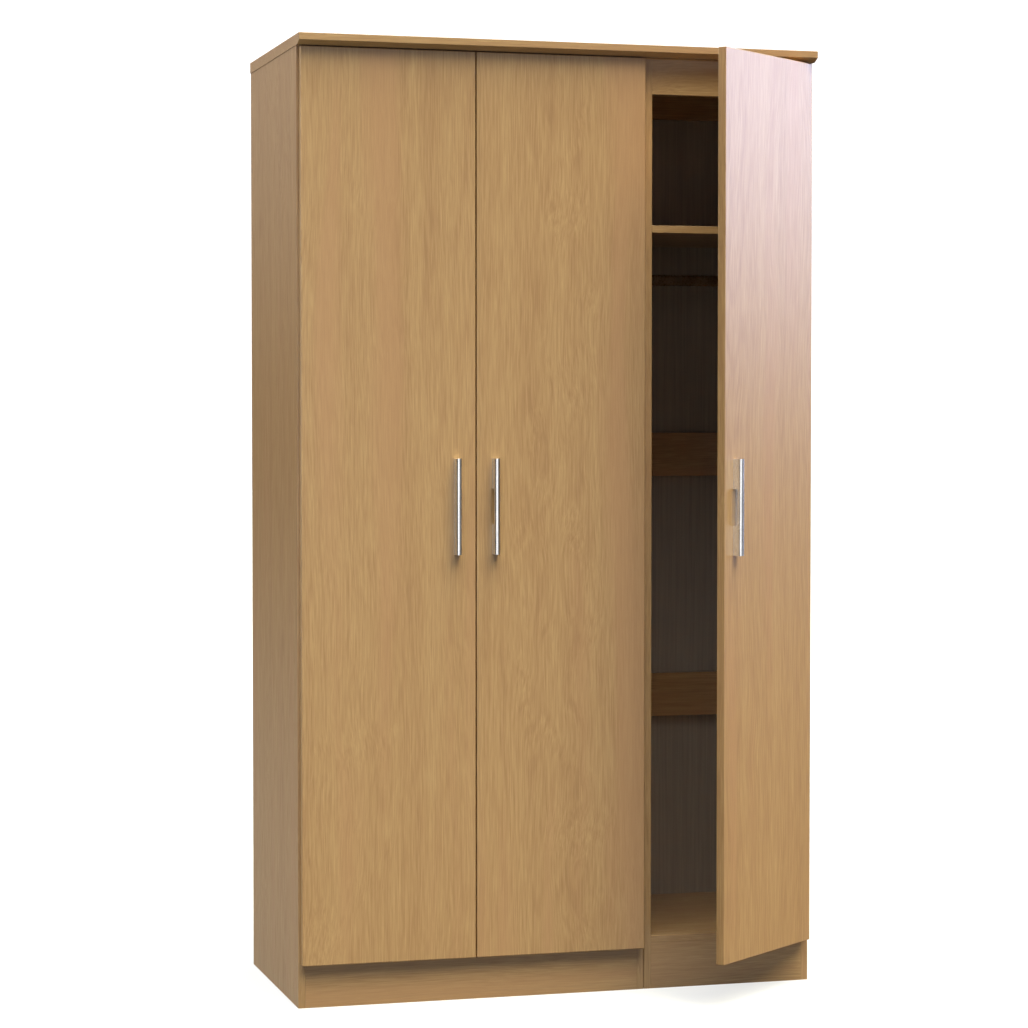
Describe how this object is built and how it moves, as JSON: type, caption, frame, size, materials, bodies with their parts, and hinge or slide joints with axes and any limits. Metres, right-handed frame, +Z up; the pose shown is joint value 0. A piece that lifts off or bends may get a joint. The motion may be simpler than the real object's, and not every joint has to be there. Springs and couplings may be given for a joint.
{
  "type": "wardrobe",
  "caption": "Tall oak-effect wardrobe with hinged doors, bar handles, hanging rails and top shelves, made as bolted modules under one top board.",
  "frame": {"origin": "on the floor, at the middle of the carcass's width, in the plane of the carcass's front edges", "axes": "+X to the right as one faces the doors, -Y out of the front, +Z up"},
  "size_m": [1.11, 0.7335, 1.97],
  "materials": {
    "oak_doors": "satin oak foil, upright grain",
    "oak_top": "satin oak foil, grain along the width",
    "oak_carcass": "satin oak foil, upright grain",
    "oak_boards": "satin oak foil, grain along the width",
    "back_sheet": "printed hardboard, matt",
    "hanging_rail": "brown lacquer, satin",
    "brown_plastic": "moulded, matt",
    "handle_steel": "satin, brushed along its length",
    "nickel_plated": "nickel plated",
    "zinc_plated": "zinc plated",
    "beech": "raw, fluted",
    "clear_pad": "clear elastomer"
  },
  "bodies": {
    "carcass": {"top_board": "oak_top", "side_panel_left": "oak_carcass", "side_panel_right": "oak_carcass", "partition_left": "oak_carcass", "partition_right": "oak_carcass", "base_panel_double": "oak_boards", "base_panel_single": "oak_boards", "plinth_double": "oak_boards", "plinth_single": "oak_boards", "front_rail_double": "oak_boards", "front_rail_single": "oak_boards", "back_rail_top_double": "oak_boards", "back_rail_top_single": "oak_boards", "back_rail_mid_double": "oak_boards", "back_rail_mid_single": "oak_boards", "back_rail_low_double": "oak_boards", "back_rail_low_single": "oak_boards", "shelf_double": "oak_boards", "shelf_single": "oak_boards", "back_panel_double": "back_sheet", "back_panel_single": "back_sheet", "hanging_rail_double": "hanging_rail", "hanging_rail_single": "hanging_rail", "rail_sockets": "brown_plastic", "rail_socket_screws": "zinc_plated", "shelf_pins": "zinc_plated", "cam_locks": "zinc_plated", "cam_bolts": "zinc_plated", "dowels": "beech", "connector_sleeves": "zinc_plated", "connector_screws": "zinc_plated", "hinge_plates": "nickel_plated", "hinge_screws": "zinc_plated", "hinge_arms_left": "nickel_plated", "hinge_arms_middle": "nickel_plated", "hinge_arms_right": "nickel_plated"},
    "left_door": {"door_left": "oak_doors", "handle_left": "handle_steel", "handle_screws_left": "zinc_plated", "door_pads_left": "clear_pad", "hinge_cups_left": "nickel_plated", "cup_screws_left": "zinc_plated"},
    "left_hinge_links": {"hinge_links_left": "nickel_plated"},
    "middle_door": {"door_middle": "oak_doors", "handle_middle": "handle_steel", "handle_screws_middle": "zinc_plated", "door_pads_middle": "clear_pad", "hinge_cups_middle": "nickel_plated", "cup_screws_middle": "zinc_plated"},
    "middle_hinge_links": {"hinge_links_middle": "nickel_plated"},
    "right_door": {"door_right": "oak_doors", "handle_right": "handle_steel", "handle_screws_right": "zinc_plated", "door_pads_right": "clear_pad", "hinge_cups_right": "nickel_plated", "cup_screws_right": "zinc_plated"},
    "right_hinge_links": {"hinge_links_right": "nickel_plated"}
  },
  "joints": [
    {"name": "left_door_swing", "type": "hinge", "parent": "carcass", "child": "left_door", "pos_m": [-0.5452, -0.013, 1.01725], "axis": [0, 0, -1], "range_deg": [0, 105]},
    {"name": "left_link_swing", "type": "hinge", "parent": "carcass", "child": "left_hinge_links", "pos_m": [-0.5452, -0.013, 1.01725], "axis": [0, 0, -1], "range_deg": [0, 52.6]},
    {"name": "middle_door_swing", "type": "hinge", "parent": "carcass", "child": "middle_door", "pos_m": [0.1767, -0.013, 1.01725], "axis": [0, 0, 1], "range_deg": [0, 105]},
    {"name": "middle_link_swing", "type": "hinge", "parent": "carcass", "child": "middle_hinge_links", "pos_m": [0.1767, -0.013, 1.01725], "axis": [0, 0, 1], "range_deg": [0, 52.6]},
    {"name": "right_door_swing", "type": "hinge", "parent": "carcass", "child": "right_door", "pos_m": [0.5452, -0.013, 1.01725], "axis": [0, 0, 1], "range_deg": [-39.2, 65.8]},
    {"name": "right_link_swing", "type": "hinge", "parent": "carcass", "child": "right_hinge_links", "pos_m": [0.5452, -0.013, 1.01725], "axis": [0, 0, 1], "range_deg": [-19.7, 33]}
  ],
  "couplings": [
    {"joint": "left_link_swing", "follows": "left_door_swing", "ratio": 0.5},
    {"joint": "middle_link_swing", "follows": "middle_door_swing", "ratio": 0.5},
    {"joint": "right_link_swing", "follows": "right_door_swing", "ratio": 0.5}
  ]
}
